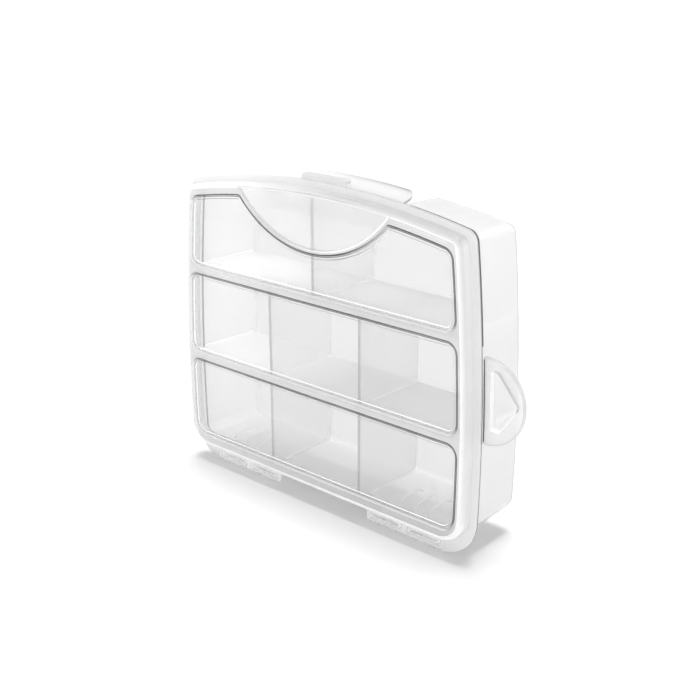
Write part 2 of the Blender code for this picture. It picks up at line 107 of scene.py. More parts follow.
# Tray: its outline at the front, how much it tapers to the back, its depths and the finger notch
TRAY_HALF, TRAY_TOP, TRAY_BOTTOM = 0.1048, 0.1830, 0.0124
TRAY_TOP_CORNER, TRAY_BASE_CORNER = 0.0065, 0.0080
TAPER_SIDE, TAPER_TOP, TAPER_BOTTOM = 0.0019, 0.0014, 0.0006
TRAY_FRONT, FLANGE_BACK, TRAY_BACK, TRAY_WALL, TRAY_EDGE = 0.0103, 0.0123, 0.0545, 0.0020, 0.0045
NOTCH_HALF, NOTCH_FRONT, NOTCH_FLOOR, NOTCH_TOP, NOTCH_ROUND = 0.0465, 0.0150, 0.1690, 0.203, 0.0050

# Dividers: x, the height of their floor and of their roof, and where their beads start and end
INSIDE_FRONT, INSIDE_BACK, BEAD_FRONT, FLOOR_CORNER = 0.0024, 0.0522, 0.0115, 0.0040
BOTTOM_FLOOR, LOWER_SHELF, UPPER_SHELF = 0.0154, 0.0714, 0.1254
DIVIDERS = {
    "top": (0.0, UPPER_SHELF, 0.1664),
    "middle_left": (-0.0339, LOWER_SHELF, 0.1230),
    "middle_right": (0.0339, LOWER_SHELF, 0.1230),
    "bottom_left": (-0.0339, BOTTOM_FLOOR, 0.0690),
    "bottom_right": (0.0339, BOTTOM_FLOOR, 0.0690),
}
TOP_DIVIDER_FRONT = 0.1800

# Lines at the shelves' ends, made bright by a painted glow, and the ribs on the tray's floor
WELD_LIFT, WELD_INSET, WELD_LENGTH = 0.0002, 0.0017, 0.0390
RIB_BASE, RIB_MIDDLE, RIB_REACH, RIB_HEIGHT = 0.0147, 0.0235, 0.0095, 0.0030
RIB_PLACES = {"left": (-0.0800, -0.0700, -0.0600), "right": (0.0540, 0.0640, 0.0740)}

# Hanging ear: its round outline, the flat that meets the tray, and its five-sided hole
EAR_CENTRE, EAR_RADIUS, EAR_FLAT = Vector((0.1103, 0.0915)), 0.0233, 0.1084
EAR_HOLE = ((0.1134, 0.1065), (0.1160, 0.1086), (0.1296, 0.0925), (0.1192, 0.0774), (0.1138, 0.0774))
EAR_FRONT, EAR_BACK, EAR_EDGE, EAR_BEVEL = 0.0106, 0.0132, 0.0006, 0.0008
# The strip of painted shadow in the slit where the lid's rim passes the ear: low, high, x
SLIT_LOW, SLIT_HIGH, SLIT_HALF = 0.0700, 0.1137, 0.1106

SHARP_ANGLE = math.radians(32)


# Outlines

def arc(centre, radius, start, end, steps):
    found = []
    for step in range(steps + 1):
        angle = start + (end - start) * step / steps
        found.append(centre + radius * Vector((math.cos(angle), math.sin(angle))))
    return found


def heading(vector):
    return math.atan2(vector.y, vector.x)


def crossing(centre_a, radius_a, centre_b, radius_b, axis):
    """Where two circles cross, on the side further along an axis."""
    found = intersect_sphere_sphere_2d(centre_a, radius_a, centre_b, radius_b)
    return max(found, key=lambda p: p[axis])


def mirrored(right):
    return right + [Vector((-p.x, p.y)) for p in reversed(right) if p.x > 1e-6]


def right_flank(half, top, bottom, top_corner, base_corner, top_arc):
    """Base corner, bowed side and top corner, with the centre and start of the arc that goes on."""
    side_centre = Vector((half - SIDE_ARC, SIDE_MID))
    top_centre = Vector((0.0, top - top_arc))
    upper = crossing(side_centre, SIDE_ARC - top_corner, top_centre, top_arc - top_corner, 1)
    height = bottom + base_corner
    reach = math.sqrt((SIDE_ARC - base_corner) ** 2 - (height - SIDE_MID) ** 2)
    lower = Vector((side_centre.x + reach, height))
    side_start, side_end = heading(lower - side_centre), heading(upper - side_centre)
    top_start = heading(upper - top_centre)
    points = arc(lower, base_corner, -math.pi / 2, side_start, CORNER_STEPS)
    points += arc(side_centre, SIDE_ARC, side_start, side_end, SIDE_STEPS)[1:]
    points += arc(upper, top_corner, side_end, top_start, CORNER_STEPS)[1:]
    return points, top_centre, top_start


def outline(half, top, bottom, top_corner, base_corner, inset=0.0, top_arc=TOP_ARC):
    points, top_centre, top_start = right_flank(
        half - inset, top - inset, bottom + inset,
        max(top_corner - inset, 0.0004), max(base_corner - inset, 0.0004), top_arc,
    )
    steps = 1 if top_arc == FLAT_ARC else TOP_STEPS
    points += arc(top_centre, top_arc, top_start, math.pi / 2, steps)[1:]
    return mirrored(points)


def lid_outline(inset=0.0):
    return outline(*LID_OUTLINE, inset)


def rim_outline(inset=0.0):
    return outline(*RIM_OUTLINE, inset)


def low_window(grow=0.0):
    return outline(*LOW_WINDOW, -grow, FLAT_ARC)


def middle_window(grow=0.0):
    return outline(*MIDDLE_WINDOW, -grow, FLAT_ARC)


def top_window(grow=0.0):
    """The top window, whose upper edge dips round the scoop."""
    half, top, bottom, top_corner, base_corner = TOP_WINDOW
    points, top_centre, top_start = right_flank(
        half + grow, top + grow, bottom - grow, top_corner + grow, base_corner + grow, TOP_ARC
    )
    dip, radius, corner = Vector((0.0, DIP_LOW + DIP_RADIUS)), DIP_RADIUS - grow, DIP_CORNER + grow
    cusp = crossing(top_centre, TOP_ARC - corner, dip, radius + corner, 0)
    top_end, inward = heading(cusp - top_centre), heading(dip - cusp)
    points += arc(top_centre, TOP_ARC, top_start, top_end, TOP_STEPS)[1:]
    points += arc(cusp, corner, top_end, inward, CORNER_STEPS)[1:]
    points += arc(dip, radius, inward - math.pi, -math.pi / 2, 2 * TOP_STEPS)[1:]
    return mirrored(points)


def scoop(grow=0.0):
    centre = Vector((0.0, SCOOP_LOW + SCOOP_RADIUS))
    top_centre = Vector((0.0, SCOOP_TOP + grow - TOP_ARC))
    radius = SCOOP_RADIUS + grow
    tip = crossing(centre, radius, top_centre, TOP_ARC, 0)
    points = arc(centre, radius, -math.pi / 2, heading(tip - centre), 2 * TOP_STEPS)
    points += arc(top_centre, TOP_ARC, heading(tip - top_centre), math.pi / 2, TOP_STEPS)[1:]
    return mirrored(points[1:])[:-1] + [points[0]]


def scallop(grow):
    """The scoop's lower edge from its left tip to its right tip."""
    right = scoop(grow)[:2 * TOP_STEPS]
    return [Vector((-p.x, p.y)) for p in reversed(right)] + right


def tray_outline(depth, inset=0.0):
    taper = (depth - TRAY_FRONT) / (TRAY_BACK - TRAY_FRONT)
    return outline(
        TRAY_HALF - taper * TAPER_SIDE, TRAY_TOP - taper * TAPER_TOP, TRAY_BOTTOM + taper * TAPER_BOTTOM,
        TRAY_TOP_CORNER, TRAY_BASE_CORNER, inset,
    )


def bowed(half, height):
    """How far out a side of the case is at a height."""
    return half - (height - SIDE_MID) ** 2 / 2 / SIDE_ARC


def ear_outline(grow=0.0):
    radius = EAR_RADIUS + grow
    swing = math.acos((EAR_FLAT - grow - EAR_CENTRE.x) / radius)
    return arc(EAR_CENTRE, radius, -swing, swing, 60)


def ear_hole(grow=0.0, radius=0.0011, steps=5):
    """The ear's hole with rounded corners, pushed out by grow."""
    middle = sum((Vector(c) for c in EAR_HOLE), Vector((0.0, 0.0))) / len(EAR_HOLE)
    points = []
    for i, corner in enumerate(EAR_HOLE):
        here = Vector(corner)
        here += (here - middle).normalized() * grow * 1.3
        before = (Vector(EAR_HOLE[i - 1]) - here).normalized()
        after = (Vector(EAR_HOLE[(i + 1) % len(EAR_HOLE)]) - here).normalized()
        start, end = here + before * radius, here + after * radius
        for step in range(steps + 1):
            share = step / steps
            points.append(start * (1 - share) ** 2 + here * 2 * share * (1 - share) + end * share ** 2)
    return points


def rounding(radius, steps):
    """(depth past the face, inset from the side) pairs of a quarter round, from the face outwards."""
    pairs = []
    for step in range(steps + 1):
        angle = math.pi / 2 * step / steps
        pairs.append((radius * (1 - math.cos(angle)), radius * (1 - math.sin(angle))))
    return pairs


# Meshes

def smoothed(piece):
    """Smooth shading between sharp edges, in which flat faces keep their own normal."""
    piece.data.shade_smooth()
    piece.data.set_sharp_from_angle(angle=SHARP_ANGLE)
    weighted = piece.modifiers.new("even_normals", "WEIGHTED_NORMAL")
    weighted.keep_sharp = True
    weighted.weight = 100


def drawn(name, mesh, *looks):
    """An object from a bmesh drawn in the case frame."""
    bmesh.ops.remove_doubles(mesh, verts=mesh.verts, dist=2e-6)
    bmesh.ops.recalc_face_normals(mesh, faces=mesh.faces)
    for vert in mesh.verts:
        vert.co += SHIFT
    data = bpy.data.meshes.new(name)
    mesh.to_mesh(data)
    mesh.free()
    made = bpy.data.objects.new(name, data)
    SCENE.collection.objects.link(made)
    for look in looks:
        data.materials.append(look)
    return made


def placed(piece, body, slot, *nodes):
    """A finished piece rides on its body and stands for its CAD nodes."""
    smoothed(piece)
    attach(piece, body)
    if nodes:
        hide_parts(*nodes)


def bridge(mesh, near, far, look=0):
    for i in range(len(near)):
        j = (i + 1) % len(near)
        mesh.faces.new((near[i], near[j], far[j], far[i])).material_index = look


def rings(mesh, sections, look=0):
    """Faces through a run of (depth, points) loops of equal count, all with one material index."""
    made = [[mesh.verts.new((x, depth, z)) for x, z in points] for depth, points in sections]
    for near, far in zip(made, made[1:]):
        bridge(mesh, near, far, look)


def cap(mesh, depth, *loops):
    """A flat face at a depth, bounded by the first loop, with the later loops as holes."""
    curve = bpy.data.curves.new("cap", "CURVE")
    curve.dimensions, curve.fill_mode = "2D", "BOTH"
    for loop in loops:
        spline = curve.splines.new("POLY")
        spline.points.add(len(loop) - 1)
        for point, (x, z) in zip(spline.points, loop):
            point.co = (x, z, 0.0, 1.0)
        spline.use_cyclic_u = True
    filled = bpy.data.objects.new("cap", curve)
    SCENE.collection.objects.link(filled)
    flat = bpy.data.meshes.new_from_object(filled.evaluated_get(bpy.context.evaluated_depsgraph_get()))
    verts = [mesh.verts.new((v.co.x, depth, v.co.y)) for v in flat.vertices]
    for polygon in flat.polygons:
        mesh.faces.new([verts[i] for i in polygon.vertices])
    bpy.data.objects.remove(filled)
    bpy.data.meshes.remove(flat)


def rounded_sides(front, back, edge, steps, shape):
    """Sections of a plate's side whose front and back edges are both rounded."""
    sections = [(front + d, shape(-inset)) for d, inset in rounding(edge, steps)]
    return sections + [(back - d, shape(-inset)) for d, inset in reversed(rounding(edge, steps))]


def block(low, high):
    mesh = bmesh.new()
    bmesh.ops.create_cube(mesh, size=1.0)
    for vert in mesh.verts:
        vert.co = [high[k] if vert.co[k] > 0 else low[k] for k in range(3)]
    return mesh


def cut(piece, *tools):
    """The piece with the tools taken out of it; the tools are removed."""
    for tool in tools:
        solver = piece.modifiers.new(tool.name, "BOOLEAN")
        solver.operation, solver.object, solver.solver = "DIFFERENCE", tool, "EXACT"
    mesh = bpy.data.meshes.new_from_object(piece.evaluated_get(bpy.context.evaluated_depsgraph_get()))
    piece.modifiers.clear()
    piece.data = mesh
    for tool in tools:
        bpy.data.objects.remove(tool)
    return piece


def bar(name, loops, look, body, slot):
    """A slim bar through a run of four-cornered loops, closed at both ends."""
    mesh = bmesh.new()
    made = [[mesh.verts.new(corner) for corner in loop] for loop in loops]
    for near, far in zip(made, made[1:]):
        bridge(mesh, near, far)
    mesh.faces.new(made[0])
    mesh.faces.new(made[-1])
    placed(drawn(name, mesh, look), body, slot)


def between(outer, inner, near, far):
    """Loops of a bar between two outlines and two depths."""
    loops = []
    for out, inside in zip(outer, inner):
        corners = ((out, near), (out, far), (inside, far), (inside, near))
        loops.append([Vector((p.x, depth, p.y)) for p, depth in corners])
    return loops


def around(points, wide, tall):
    """Loops of a bar whose sides are the vectors wide and tall, centred on points."""
    corners = ((-1, -1), (1, -1), (1, 1), (-1, 1))
    return [[Vector(point) + wide * a / 2 + tall * b / 2 for a, b in corners] for point in points]


def beside(x, path, reach, width):
    """Loops of a bar along a (y, z) path at x, reach wide in the path's plane and width across it."""
    loops = []
    for i, point in enumerate(path):
        before, after = path[max(i - 1, 0)], path[min(i + 1, len(path) - 1)]
        along = (after - before).normalized()
        sunk = point - Vector((along.y, -along.x)) * reach
        left, right = x - width / 2, x + width / 2
        corners = ((left, point), (right, point), (right, sunk), (left, sunk))
        loops.append([Vector((side, p.x, p.y)) for side, p in corners])
    return loops


# Material nodes

# Noise scales and depth of the surface, and the share of the haze lit from behind
FLOW_SCALE, GRAIN_SCALE, GRAIN_DEPTH = 14.0, 900.0, 0.0004
GLOW = 0.45


def grey(level):
    return (level, level, level, 1.0)


def add(tree, kind, inputs=None, **settings):
    """A new node; inputs gives each socket a value or the output that feeds it."""
    made = tree.nodes.new(kind)
    for key, value in settings.items():
        setattr(made, key, value)
    for socket, value in (inputs or {}).items():
        if isinstance(value, bpy.types.NodeSocket):
            tree.links.new(value, made.inputs[socket])
        else:
            made.inputs[socket].default_value = value
    return made


def maths(tree, operation, *values, clamp=False):
    made = add(tree, "ShaderNodeMath", dict(enumerate(values)), operation=operation, use_clamp=clamp)
    return made.outputs[0]


def mapped(tree, source, low, high, start=0.0, end=1.0):
    """source carried from start..end to low..high, and held past both ends."""
    ends = {"From Min": start, "From Max": end, "To Min": low, "To Max": high}
    return add(tree, "ShaderNodeMapRange", {"Value": source, **ends}).outputs["Result"]


def coordinate(tree, kind, axis):
    """One axis of a texture coordinate."""
    place = add(tree, "ShaderNodeTexCoord").outputs[kind]
    return add(tree, "ShaderNodeSeparateXYZ", {0: place}).outputs[axis]


def share_towards(tree, vector, toward):
    """How far a vector points along toward: 0 against it, 0.5 across it, 1 along it."""
    dot = add(tree, "ShaderNodeVectorMath", {0: vector, 1: toward}, operation="DOT_PRODUCT")
    return maths(tree, "MULTIPLY_ADD", dot.outputs["Value"], 0.5, 0.5)


def feed_painted_tone(look, source, stops):
    """The haze's grey, painted light and shade, follows a ramp driven by source; stops are (source,
    grey).
    """
    tree = look.node_tree
    ramp = add(tree, "ShaderNodeValToRGB", {"Fac": source})
    marks = ramp.color_ramp.elements
    while len(marks) < len(stops):
        marks.new(0.5)
    for mark, (place, level) in zip(marks, stops):
        mark.position, mark.color = place, grey(level)
    tree.links.new(ramp.outputs["Color"], tree.nodes["tone"].inputs["Color1"])


# Plastics

def plastic(name, level, haze, edge_haze, rough, tint=0.97, limb=0.45, painted_glow=0.0, bump=0.0):
    """Thin translucent moulding: a clear share, haze that thickens where seen edge-on, soft gloss.

    level is the haze's grey and limb the same seen edge-on, tint the grey of the clear share, and
    the glow setting a painted glow, emission standing for the light the plastic carries along its walls.
    """
    made = bpy.data.materials.new(name)
    made.use_nodes = True
    tree = made.node_tree
    tree.nodes.clear()
    place = add(tree, "ShaderNodeTexCoord").outputs["Object"]
    flow = add(tree, "ShaderNodeTexNoise", {"Vector": place, "Scale": FLOW_SCALE, "Detail": 2.0})
    grain = add(tree, "ShaderNodeTexNoise", {"Vector": place, "Scale": GRAIN_SCALE, "Detail": 3.0})
    raised = {"Height": grain.outputs["Fac"], "Strength": bump, "Distance": GRAIN_DEPTH}
    normal = add(tree, "ShaderNodeBump", raised).outputs["Normal"]
    edge = add(tree, "ShaderNodeLayerWeight", {"Blend": 0.35}).outputs["Facing"]
    grazing = add(tree, "ShaderNodeLayerWeight", {"Blend": 0.5, "Normal": normal}).outputs["Facing"]
    uneven = mapped(tree, flow.outputs["Fac"], 0.93, 1.07, 0.3, 0.7)
    amount = maths(tree, "MULTIPLY", mapped(tree, edge, haze, edge_haze), uneven, clamp=True)
    amount.node.name = "amount"
    tones = {"Fac": maths(tree, "POWER", grazing, 4.0), "Color1": grey(level), "Color2": grey(limb)}
    colour = add(tree, "ShaderNodeMixRGB", tones, name="tone").outputs[0]
    front = add(tree, "ShaderNodeBsdfDiffuse", {"Color": colour, "Normal": normal})
    behind = add(tree, "ShaderNodeBsdfTranslucent", {"Color": colour})
    body = add(tree, "ShaderNodeMixShader", {"Fac": GLOW, 1: front.outputs[0], 2: behind.outputs[0]})
    # A painted glow: emission that makes the plastic shine where no lamp lights it
    if painted_glow:
        painted_emission = add(tree, "ShaderNodeEmission", {"Color": colour, "Strength": painted_glow})
        body = add(tree, "ShaderNodeAddShader", {0: body.outputs[0], 1: painted_emission.outputs[0]})
    through = add(tree, "ShaderNodeBsdfTransparent", {"Color": grey(tint)})
    see = add(tree, "ShaderNodeMixShader", {"Fac": amount, 1: through.outputs[0], 2: body.outputs[0]})
    shine = add(tree, "ShaderNodeBsdfGlossy", {"Color": grey(1.0), "Roughness": rough, "Normal": normal})
    mirror = mapped(tree, maths(tree, "POWER", grazing, 5.0), 0.035, 0.9)
    top = add(tree, "ShaderNodeMixShader", {"Fac": mirror, 1: see.outputs[0], 2: shine.outputs[0]})
    add(tree, "ShaderNodeOutputMaterial", {"Surface": top.outputs[0]})
    return made


def painted_by_facing(name, toward, stops, haze, tint=0.95, rough=0.15, limb=0.6, painted_glow=0.0, edge_haze=1.0):
    """A moulded step or edge with painted light and shade: its grey follows the way it faces,
    from 0 away to 1 along toward.
    """
    made = plastic(name, 0.94, haze, edge_haze, rough, tint=tint, limb=limb, painted_glow=painted_glow)
    tree = made.node_tree
    facing = add(tree, "ShaderNodeTexCoord").outputs["Normal"]
    feed_painted_tone(made, share_towards(tree, facing, Vector(toward).normalized()), stops)
    return made


def across(name, stops, haze, edge_haze, tint, painted_glow):
    """Plastic whose painted light and shade drift from the case's left end (0) to its right end (1)."""
    made = plastic(name, 0.94, haze, edge_haze, 0.15, tint=tint, painted_glow=painted_glow)
    tree = made.node_tree
    place = coordinate(tree, "Object", "X")
    feed_painted_tone(made, mapped(tree, place, 0.0, 1.0, SHIFT.x - TRAY_HALF, SHIFT.x + TRAY_HALF), stops)
    return made


def painted_round_hole(name, centre, toward, reach, stops, haze, painted_glow):
    """An edge whose grey, painted light and shade, follows its place round a hole: 0.5 at the centre,
    1 at reach along toward.
    """
    made = plastic(name, 0.94, haze, 1.0, 0.15, tint=0.95, limb=0.6, painted_glow=painted_glow)
    tree = made.node_tree
    place = add(tree, "ShaderNodeTexCoord").outputs["Object"]
    middle = (centre[0] + SHIFT.x, 0.0, centre[1])
    offset = add(tree, "ShaderNodeVectorMath", {0: place, 1: middle}, operation="SUBTRACT")
    feed_painted_tone(made, share_towards(tree, offset.outputs[0], Vector(toward).normalized() / reach), stops)
    return made


def painted_light_left(look, low=-0.070, high=0.020):
    """Painted light: the grey fades to white towards the case's left end, between two distances from
    its mid plane.
    """
    tree = look.node_tree
    tone = tree.nodes["tone"].inputs["Color1"]
    source = tone.links[0].from_socket
    fade = mapped(tree, coordinate(tree, "Object", "X"), 0.85, 0.0, SHIFT.x + low, SHIFT.x + high)
    blend = add(tree, "ShaderNodeMixRGB", {"Fac": fade, "Color1": source, "Color2": grey(1.0)})
    tree.links.new(blend.outputs[0], tone)


def thicker_edges(look, axis, extra, off_axis=False):
    """More haze on faces that face along an axis, or off it: a wall is milkier through its edge."""
    tree = look.node_tree
    amount = tree.nodes["amount"].outputs[0]
    fed = [link.to_socket for link in amount.links]
    size = maths(tree, "ABSOLUTE", coordinate(tree, "Normal", axis))
    if off_axis:
        amount, extra = maths(tree, "ADD", amount, extra), -extra
    total = maths(tree, "MULTIPLY_ADD", size, extra, amount, clamp=True)
    for socket in fed:
        tree.links.new(total, socket)


# The way that the painted light and shade on the lid's fine steps is keyed to
UP_RIGHT = (0.7, 0.0, 0.72)

# The lid's own plastics
frosted = plastic("frosted_plastic", 0.86, 0.42, 0.85, 0.28, tint=0.985, limb=0.60, bump=0.03)
clear = plastic("clear_plastic", 0.88, 0.02, 0.60, 0.05, tint=0.98)
pane_edge = plastic("pane_edge", 0.80, 0.25, 0.60, 0.20, tint=0.95)
scoop_look = plastic("scoop_plastic", 1.0, 0.24, 0.70, 0.18, tint=0.985, limb=0.50)
catch_look = plastic("catch_plastic", 0.93, 0.55, 0.90, 0.20, tint=0.95, limb=0.35)
# The hinge loops have a painted glow
loop_look = plastic("loop_plastic", 0.98, 0.08, 0.60, 0.12, tint=0.98, limb=0.8, painted_glow=0.12)
thicker_edges(loop_look, "Y", 0.60, off_axis=True)
# Painted shadow: a dark grey for the bar behind the rim, where the gap between lid and tray is in shade
rim_shadow_look = plastic("seam_shadow", 0.24, 0.85, 0.95, 0.40, tint=0.7, limb=0.15)
# Painted light and shade on the lid's fine steps, by the way their faces point: the openings' step, the
# panes' inner step and the panes' front edge are dark along their top and right and light along their
# bottom and left; both steps also have a painted glow, strong on the panes' inner step
step_line = painted_by_facing("step_line", UP_RIGHT, ((0.37, 0.03), (0.60, 0.92)), 0.96, painted_glow=0.08)
fine_line = painted_by_facing("fine_line", UP_RIGHT, ((0.35, 0.10), (0.60, 1.0)), 0.85, painted_glow=0.55)
pane_rim = painted_by_facing("pane_rim", UP_RIGHT, ((0.40, 1.0), (0.65, 0.12)), 0.85)
# Painted light and shade on the lid's front rounding and its side: grey where they face up, white where
# they face down, with a painted glow, and lighter towards the case's left end
lid_edge = painted_by_facing(
    "lid_edge", (-0.30, 0.0, -1.0),
    ((0.05, 0.50), (0.35, 0.75), (0.45, 1.0), (0.60, 1.02), (0.9, 1.45)),
    0.85, rough=0.3, painted_glow=0.17,
)
lid_side = painted_by_facing(
    "lid_side", (0.0, 0.0, -1.0), ((0.05, 0.50), (0.40, 0.93), (0.60, 1.0)),
    0.62, rough=0.3, painted_glow=0.08,
)
painted_light_left(lid_edge)
painted_light_left(lid_side)
# Painted shade: a dark band on the rim's back edge where it faces right, light where it faces up
seam_shade = painted_by_facing("seam_shade", (0.9, 0.0, 0.45), ((0.72, 0.9), (0.80, 0.10), (0.93, 0.10), (0.97, 0.22)), 0.97)
# Painted light and shade on the scoop's bead: grey on its left, white with a painted glow on its right
scallop_look = across(
    "scoop_bead", ((0.0, 0.76), (0.42, 0.78), (0.60, 1.3), (1.0, 1.3)), 0.55, 0.80, 0.97, 0.13
)
# Painted light and shade on the pull lip: white towards the case's left end, greyer towards the right,
# and its edge darkest there; a faint painted glow on the lip
lip_look = across(
    "lip_plastic", ((0.0, 1.2), (0.45, 1.0), (0.58, 0.86), (1.0, 0.84)), 0.45, 0.90, 0.98, 0.05
)
lip_line = across(
    "lip_edge_plastic", ((0.0, 1.2), (0.42, 1.0), (0.75, 0.52), (1.0, 0.45)), 0.80, 0.95, 0.95, 0.0
)

# The tray's
# Painted light and shade on the tray by the way its faces point: brightest facing sideways, a dark band
# where the back rounding starts to turn away, greyer facing front or back; a faint painted glow
tray_look = painted_by_facing(
    "tray_plastic", (0.0, 1.0, 0.0),
    ((0.0, 0.74), (0.3, 0.95), (0.5, 1.0), (0.57, 0.95), (0.68, 0.42), (0.88, 0.66), (1.0, 0.72)),
    0.16, tint=0.975, limb=0.30, painted_glow=0.04, edge_haze=0.70,
)
thicker_edges(tray_look, "X", 0.34)
# Painted shade on the tray's front opening: dark at the case's left end, light elsewhere
mouth_line = across(
    "mouth_line", ((0.0, 0.25), (0.08, 0.25), (0.25, 0.9), (1.0, 0.9)), 0.65, 0.85, 0.97, 0.0
)
# Painted light on the shelves: white with a painted glow at the case's left end, greyer to the right
shelf_look = across(
    "shelf_plastic", ((0.0, 1.15), (0.28, 1.10), (0.50, 0.84), (1.0, 0.80)), 0.55, 0.85, 0.985, 0.16
)
# The weld lines glow white: a painted glow
weld_glow_look = plastic("weld_glow_plastic", 1.0, 0.80, 0.95, 0.12, tint=0.98, limb=0.9, painted_glow=0.18)
divider_look = plastic("divider_plastic", 0.98, 0.08, 0.75, 0.12, tint=0.98)
# Painted shade: a dark grey for the beads up the dividers' front edges
front_edge_shade_look = plastic("front_edge_shade_plastic", 0.50, 0.28, 0.50, 0.12, tint=0.95, limb=0.4)
# The fillets glow white: a painted glow
fillet_glow_look = plastic("bead_glow_plastic", 1.0, 0.40, 0.70, 0.12, tint=0.98, limb=0.9, painted_glow=0.12)
# The floor ribs have a faint painted glow
rib_look = plastic("rib_plastic", 1.0, 0.30, 0.55, 0.20, tint=0.98, limb=0.9, painted_glow=0.09)
# The hinge hooks have a faint painted glow
hook_look = plastic("hinge_plastic", 1.0, 0.10, 0.32, 0.12, tint=0.985, limb=0.9, painted_glow=0.05)
ear_look = plastic("ear_plastic", 0.95, 0.45, 0.85, 0.15, tint=0.96, limb=0.40)
# Painted shade: a darker grey on the ear's rounded edge for its outline
ear_rim_shade = plastic("ear_rim_shade", 0.72, 0.60, 0.80, 0.15, tint=0.95, limb=0.35)
# Painted light and shade on the hole's bevel: white round most of it with a painted glow, dark at its
# upper right
ear_line = painted_round_hole(
    "ear_line", (0.1200, 0.0925), (0.8, 0.0, 0.6), 0.010, ((0.74, 1.0), (0.82, 0.25)), 0.85, 0.15
)
# Painted shadow: a near-black for the strip in the slit where the lid's rim passes the ear
slit_shadow_look = plastic("slit_shadow", 0.05, 0.95, 0.98, 0.40, tint=0.6, limb=0.05)


# Lid

def lid_moulding():
    """The lid's rounded face and flared rim, its stepped openings, and the bay for the hinge."""
    # The slots after plain carry painted light and shade by the way the faces point
    plain, step, face_edge, rim_seam_shade, side_look = range(5)
    mesh = bmesh.new()
    rings(mesh, [(d, lid_outline(inset)) for d, inset in rounding(EDGE, 8)], face_edge)
    side = [(EDGE, lid_outline()), (RIM_FRONT - RIM_EDGE, lid_outline())]
    side.append((RIM_FRONT, rim_outline(RIM_EDGE)))
    side += [(RIM_FRONT + d, rim_outline(inset)) for d, inset in rounding(RIM_EDGE, 3)[1:]]
    rings(mesh, side, side_look)
    back = [(RIM_BACK - RIM_BACK_EDGE - SEAM_SHADE_WIDE, rim_outline())]
    back += [(RIM_BACK - d, rim_outline(inset)) for d, inset in reversed(rounding(RIM_BACK_EDGE, 4))]
    rings(mesh, [side[-1], back[0]])
    rings(mesh, back, rim_seam_shade)
    inside = [(RIM_BACK, rim_outline(RIM_BACK_EDGE)), (RIM_BACK, lid_outline(WALL))]
    inside += [(WALL + d, lid_outline(WALL + inset)) for d, inset in reversed(rounding(EDGE - WALL, 5))]
    rings(mesh, inside)
    holes = (low_window, middle_window, top_window, scoop)
    cap(mesh, 0.0, lid_outline(EDGE), *(shape(GAP + STEP_WIDE) for shape in holes))
    cap(mesh, WALL, lid_outline(EDGE), *(shape(GAP) for shape in holes))
    for shape in holes:
        look = plain if shape == scoop else step
        rings(mesh, [(0.0, shape(GAP + STEP_WIDE)), (STEP_DEEP, shape(GAP))], look)
        rings(mesh, [(STEP_DEEP, shape(GAP)), (WALL, shape(GAP))])
    made = drawn("lid_moulding", mesh, frosted, step_line, lid_edge, seam_shade, lid_side)
    smoothed(made)  # before the cut as well, which marks more of its edges sharp
    cut(made, drawn("hinge_bay", block(BAY_LOW, BAY_HIGH), frosted))
    placed(made, "lid", "frosted_plastic", "lid_frame")


def pane(name, shape, node):
    """A clear pane whose middle lies a hair deeper than its border."""
    front, back, edge = PANE_FRONT, PANE_BACK, PANE_EDGE
    border, middle = shape(-PANE_STEP_IN), shape(-PANE_STEP_IN - PANE_STEP_WIDE)
    mesh = bmesh.new()
    cap(mesh, front, shape(-edge), border)
    rings(mesh, [(front, border), (front + PANE_STEP_DEEP, middle)], 1)
    cap(mesh, front + PANE_STEP_DEEP, middle)
    sides = [(front + edge, shape(0.0))]
    sides += [(back - d, shape(-inset)) for d, inset in reversed(rounding(edge, 3))]
    rings(mesh, sides, 2)
    rings(mesh, [(front, shape(-edge)), (front + edge, shape(0.0))], 3)
    cap(mesh, back, shape(-edge))
    # The pane's inner step and front edge carry painted light and shade
    placed(drawn(name, mesh, clear, fine_line, pane_edge, pane_rim), "lid", "clear_plastic", node)


def scoop_face():
    """The scoop's plate with rounded edges."""
    mesh = bmesh.new()
    rings(mesh, rounded_sides(SCOOP_FRONT, SCOOP_BACK, SCOOP_EDGE, 4, scoop))
    cap(mesh, SCOOP_FRONT, scoop(-SCOOP_EDGE))
    cap(mesh, SCOOP_BACK, scoop(-SCOOP_EDGE))
    placed(drawn("scoop_face", mesh, scoop_look), "lid", "satin_plastic", "scoop_panel")


def lid_beads():
    """The bead along the scoop's lower edge, and a dark bar of painted shadow behind the rim's top
    right corner.
    """
    loops = between(scallop(0.0003), scallop(0.0008), -0.0002, 0.0003)
    bar("scoop_bead", loops, scallop_look, "lid", "frosted_plastic")
    pairs = zip(rim_outline(0.0002), rim_outline(0.0007))
    corner = [(out, inside) for out, inside in pairs if out.x > 0.060 and out.y > 0.1155]
    loops = between(*zip(*corner), RIM_BACK + 0.0001, RIM_BACK + 0.0006)
    bar("rim_shadow", loops, rim_shadow_look, "lid", "frosted_plastic")


